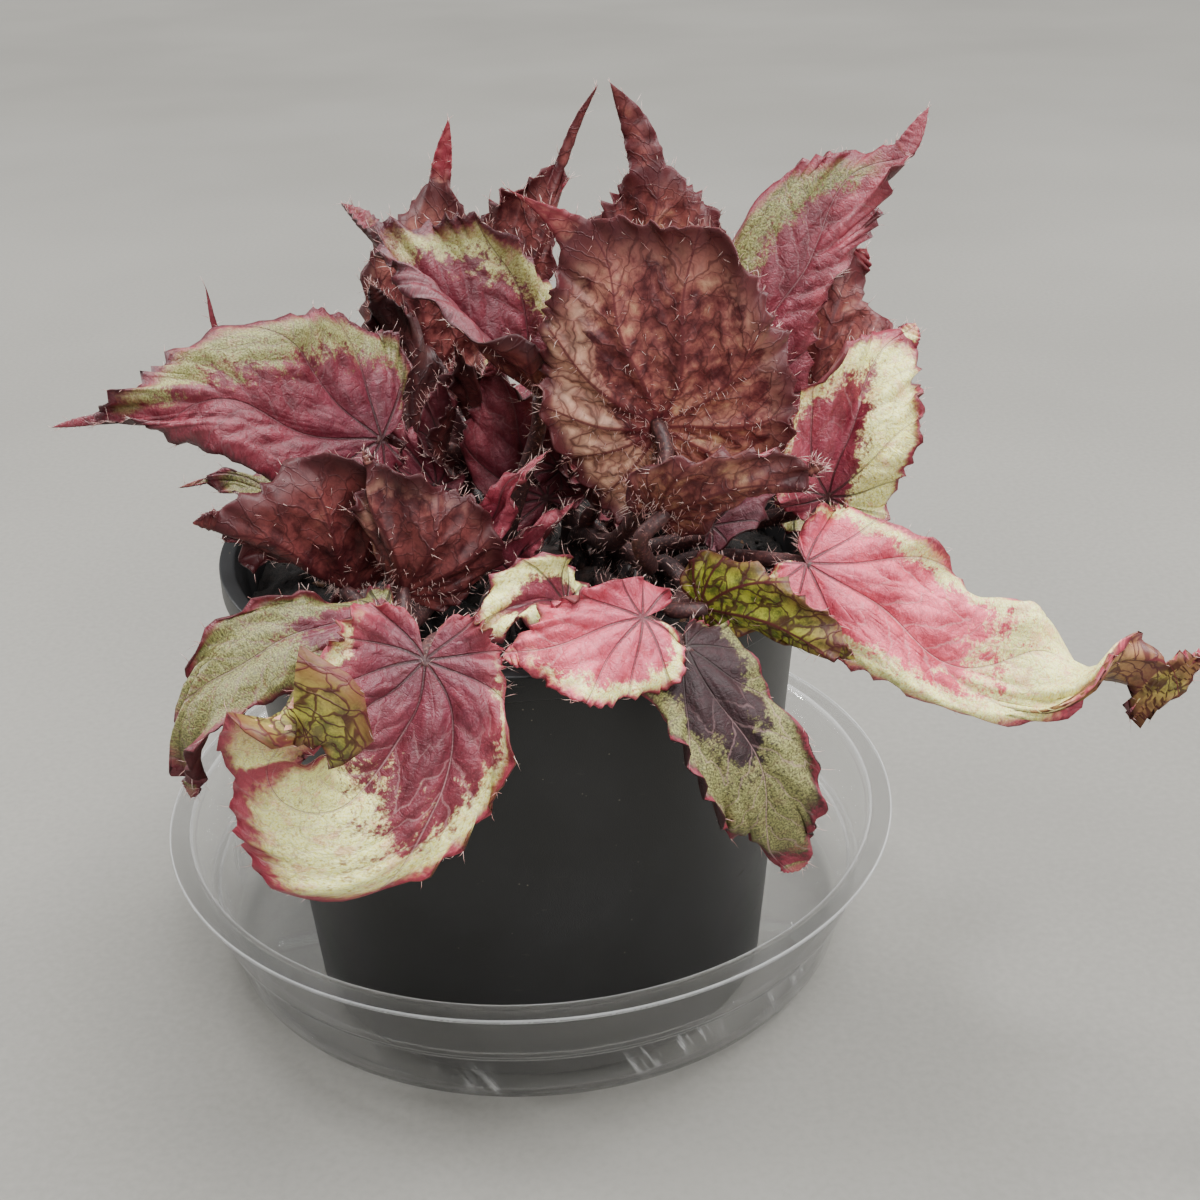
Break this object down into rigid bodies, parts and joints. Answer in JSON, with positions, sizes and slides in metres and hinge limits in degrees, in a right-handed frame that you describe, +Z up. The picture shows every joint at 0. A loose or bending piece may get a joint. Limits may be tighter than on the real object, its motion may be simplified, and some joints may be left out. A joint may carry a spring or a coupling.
{
  "type": "potted rex begonia",
  "caption": "Rex begonia with long-tipped, ruffled pink and dark red leaves on hairy stalks, growing from a creeping rhizome in a black plastic pot on a clear saucer.",
  "frame": {"origin": "On the axis of the pot, at the underside of the saucer, where the object stands.", "axes": "+Z up along the axis of the pot; +X to the right and +Y to the back as seen in the picture."},
  "size_m": [0.2902, 0.2517, 0.254],
  "materials": {
    "leaf": "pink, cream and dark red, quilted and softly shiny, with fine hairs",
    "stalk": "brownish pink, hairy",
    "rhizome": "brown, knobbly and scaly",
    "soil": "dark, moist and crumbly",
    "pot": "black, matt",
    "saucer": "clear, thin and glossy"
  },
  "bodies": {
    "root": {"saucer": "saucer", "pot": "pot", "soil": "soil", "rhizome": "rhizome", "blade_left_long": "leaf", "stalk_left_long": "stalk", "blade_left_back": "leaf", "stalk_left_back": "stalk", "leaf_left_spike": "leaf", "blade_left_under": "leaf", "stalk_left_under": "stalk", "blade_left_front": "leaf", "stalk_left_front": "stalk", "blade_hang_round": "leaf", "stalk_hang_round": "stalk", "blade_hang_left_back": "leaf", "stalk_hang_left_back": "stalk", "blade_front_rose": "leaf", "stalk_front_rose": "stalk", "blade_front_red": "leaf", "stalk_front_red": "stalk", "blade_front_green": "leaf", "stalk_front_green": "stalk", "blade_hang_right": "leaf", "stalk_hang_right": "stalk", "blade_right_long": "leaf", "stalk_right_long": "stalk", "leaf_right_small": "leaf", "blade_right_rose": "leaf", "stalk_right_rose": "stalk", "blade_right_dark": "leaf", "stalk_right_dark": "stalk", "blade_top_right": "leaf", "stalk_top_right": "stalk", "blade_centre_big": "leaf", "stalk_centre_big": "stalk", "blade_centre_back": "leaf", "stalk_centre_back": "stalk", "blade_top_fold": "leaf", "stalk_top_fold": "stalk", "blade_left_fold": "leaf", "stalk_left_fold": "stalk", "blade_back_left": "leaf", "stalk_back_left": "stalk", "blade_inner_dark": "leaf", "stalk_inner_dark": "stalk", "leaf_inner_rose": "leaf", "blade_inner_maroon": "leaf", "stalk_inner_maroon": "stalk", "blade_young_hairy": "leaf", "stalk_young_hairy": "stalk", "leaf_inner_red": "leaf", "leaf_inner_purple": "leaf", "leaf_inner_small": "leaf", "blade_rear_left": "leaf", "stalk_rear_left": "stalk", "blade_rear_middle": "leaf", "stalk_rear_middle": "stalk", "blade_rear_right": "leaf", "stalk_rear_right": "stalk"}
  },
  "joints": []
}
